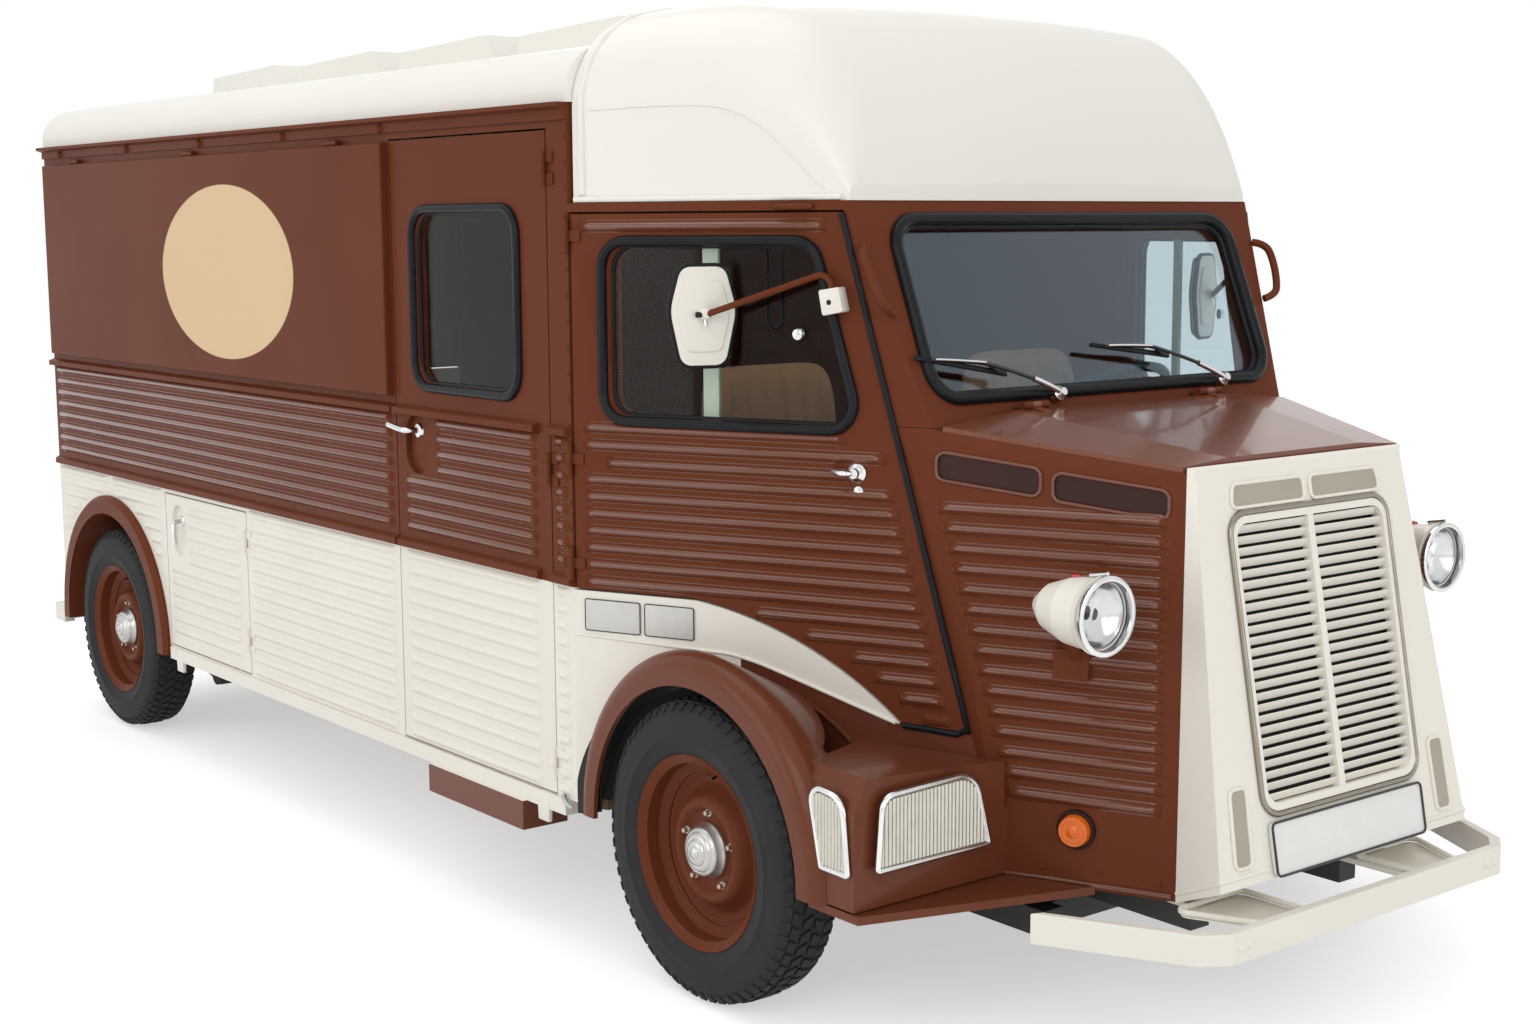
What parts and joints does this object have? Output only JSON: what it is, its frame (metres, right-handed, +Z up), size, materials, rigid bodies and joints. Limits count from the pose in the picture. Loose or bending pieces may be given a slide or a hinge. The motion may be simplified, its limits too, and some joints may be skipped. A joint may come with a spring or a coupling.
{
  "type": "food truck",
  "caption": "Corrugated-sided food truck with a domed cab, a serving hatch, opening doors, a bonnet, a tailgate and steered front wheels.",
  "frame": {"origin": "on the ground under the middle of the bounding box", "axes": "+X forward, +Y to the vehicle's left, +Z up"},
  "size_m": [5.18, 2.006, 2.33],
  "materials": {
    "cream_paint": "gloss",
    "brown_paint": "gloss",
    "glass": "clear",
    "signal_lens": "moulded",
    "frame_paint": "satin",
    "steel": "brushed",
    "cast_block": "rough",
    "white_paint": "satin",
    "tan_leather": "soft",
    "black_plastic": "satin",
    "tyre": "matt"
  },
  "bodies": {
    "body": {"body_floor": "frame_paint", "body_sides_lower": "cream_paint", "bulkhead": "frame_paint", "cab_lower_sides": "cream_paint", "cab_roof": "cream_paint", "cab_tub": "cream_paint", "cargo_roof": "cream_paint", "chassis_frame": "frame_paint", "counter": "steel", "engine": "cast_block", "exhaust": "steel", "front_bumper": "cream_paint", "front_fenders": "brown_paint", "front_suspension": "frame_paint", "grille": "steel", "grille_shell": "cream_paint", "headlamps": "cream_paint", "lamps_clear": "glass", "lamps_signal": "signal_lens", "locker_box": "white_paint", "nose_sides": "cream_paint", "rear_arches": "brown_paint", "rear_bumper": "cream_paint", "rear_frame": "brown_paint", "rear_suspension": "frame_paint", "screen_frame": "cream_paint", "seats": "tan_leather", "side_upper_left": "brown_paint", "side_upper_right": "brown_paint", "sills": "brown_paint", "windscreen": "glass"},
    "knuckle_right": {"knuckle_right": "frame_paint"},
    "knuckle_left": {"knuckle_left": "frame_paint"},
    "wheel_front_right": {"tyre_front_right": "tyre", "rim_front_right": "brown_paint"},
    "wheel_front_left": {"tyre_front_left": "tyre", "rim_front_left": "brown_paint"},
    "wheel_rear_right": {"tyre_rear_right": "tyre", "rim_rear_right": "brown_paint"},
    "wheel_rear_left": {"tyre_rear_left": "tyre", "rim_rear_left": "brown_paint"},
    "track_rod": {"track_rod": "frame_paint"},
    "steering_wheel": {"steering_wheel": "black_plastic"},
    "cab_door_right": {"cab_door_right": "brown_paint", "cab_door_glass_right": "glass", "mirror_right": "cream_paint"},
    "cab_door_left": {"cab_door_left": "brown_paint", "cab_door_glass_left": "glass", "mirror_left": "cream_paint"},
    "side_door": {"side_door": "brown_paint", "side_door_glass": "glass"},
    "serving_hatch": {"serving_hatch": "brown_paint"},
    "locker_door": {"locker_door": "cream_paint"},
    "bonnet": {"bonnet": "brown_paint"},
    "tailgate": {"tailgate": "brown_paint", "tailgate_glass": "glass"},
    "rear_door_right": {"rear_door_right": "cream_paint"},
    "rear_door_left": {"rear_door_left": "cream_paint"}
  },
  "joints": [
    {"name": "steer_right", "type": "hinge", "parent": "body", "child": "knuckle_right", "pos_m": [1.46, -0.79, 0.352], "axis": [0, 0, 1], "range_deg": [-30, 30]},
    {"name": "steer_left", "type": "hinge", "parent": "body", "child": "knuckle_left", "pos_m": [1.46, 0.79, 0.352], "axis": [0, 0, 1], "range_deg": [-30, 30]},
    {"name": "wheel_front_right_spin", "type": "hinge", "parent": "knuckle_right", "child": "wheel_front_right", "pos_m": [1.46, -0.9, 0.352], "axis": [0, 1, 0], "continuous": true},
    {"name": "wheel_front_left_spin", "type": "hinge", "parent": "knuckle_left", "child": "wheel_front_left", "pos_m": [1.46, 0.9, 0.352], "axis": [0, 1, 0], "continuous": true},
    {"name": "wheel_rear_right_spin", "type": "hinge", "parent": "body", "child": "wheel_rear_right", "pos_m": [-1.99, -0.9, 0.352], "axis": [0, 1, 0], "continuous": true},
    {"name": "wheel_rear_left_spin", "type": "hinge", "parent": "body", "child": "wheel_rear_left", "pos_m": [-1.99, 0.9, 0.352], "axis": [0, 1, 0], "continuous": true},
    {"name": "steering_wheel_turn", "type": "hinge", "parent": "body", "child": "steering_wheel", "pos_m": [1.47, 0.3, 1.29], "axis": [-0.5591, 0, 0.8291], "range_deg": [-420, 420]},
    {"name": "track_rod_slide", "type": "slide", "parent": "body", "child": "track_rod", "axis": [0, 1, 0], "range_m": [-0.08, 0.08]},
    {"name": "cab_door_right_hinge", "type": "hinge", "parent": "body", "child": "cab_door_right", "pos_m": [0.98476, -0.9833, 1.212], "axis": [0, 0, -1], "range_deg": [0, 75]},
    {"name": "cab_door_left_hinge", "type": "hinge", "parent": "body", "child": "cab_door_left", "pos_m": [0.98476, 0.9833, 1.212], "axis": [0, 0, 1], "range_deg": [0, 75]},
    {"name": "side_door_hinge", "type": "hinge", "parent": "body", "child": "side_door", "pos_m": [0.8925, -0.9833, 1.18], "axis": [0, 0, 1], "range_deg": [0, 90]},
    {"name": "serving_hatch_hinge", "type": "hinge", "parent": "body", "child": "serving_hatch", "pos_m": [-1.1735, -0.9863, 1.9933], "axis": [-1, 0, 0], "range_deg": [0, 90]},
    {"name": "locker_door_hinge", "type": "hinge", "parent": "body", "child": "locker_door", "pos_m": [-0.8725, -0.9833, 0.63], "axis": [0, 0, 1], "range_deg": [0, 100]},
    {"name": "bonnet_hinge", "type": "hinge", "parent": "body", "child": "bonnet", "pos_m": [1.8577, 0, 1.35845], "axis": [0, -1, 0], "range_deg": [0, 60]},
    {"name": "tailgate_hinge", "type": "hinge", "parent": "body", "child": "tailgate", "pos_m": [-2.4983, 0, 1.9575], "axis": [0, 1, 0], "range_deg": [0, 85]},
    {"name": "rear_door_right_hinge", "type": "hinge", "parent": "body", "child": "rear_door_right", "pos_m": [-2.4983, -0.7175, 0.8], "axis": [0, 0, 1], "range_deg": [0, 110]},
    {"name": "rear_door_left_hinge", "type": "hinge", "parent": "body", "child": "rear_door_left", "pos_m": [-2.4983, 0.7175, 0.8], "axis": [0, 0, -1], "range_deg": [0, 110]}
  ],
  "couplings": [
    {"joint": "steer_left", "follows": "steer_right", "ratio": 1},
    {"joint": "steering_wheel_turn", "follows": "steer_right", "ratio": 14},
    {"joint": "track_rod_slide", "follows": "steer_right", "m_per_rad": -0.15}
  ]
}
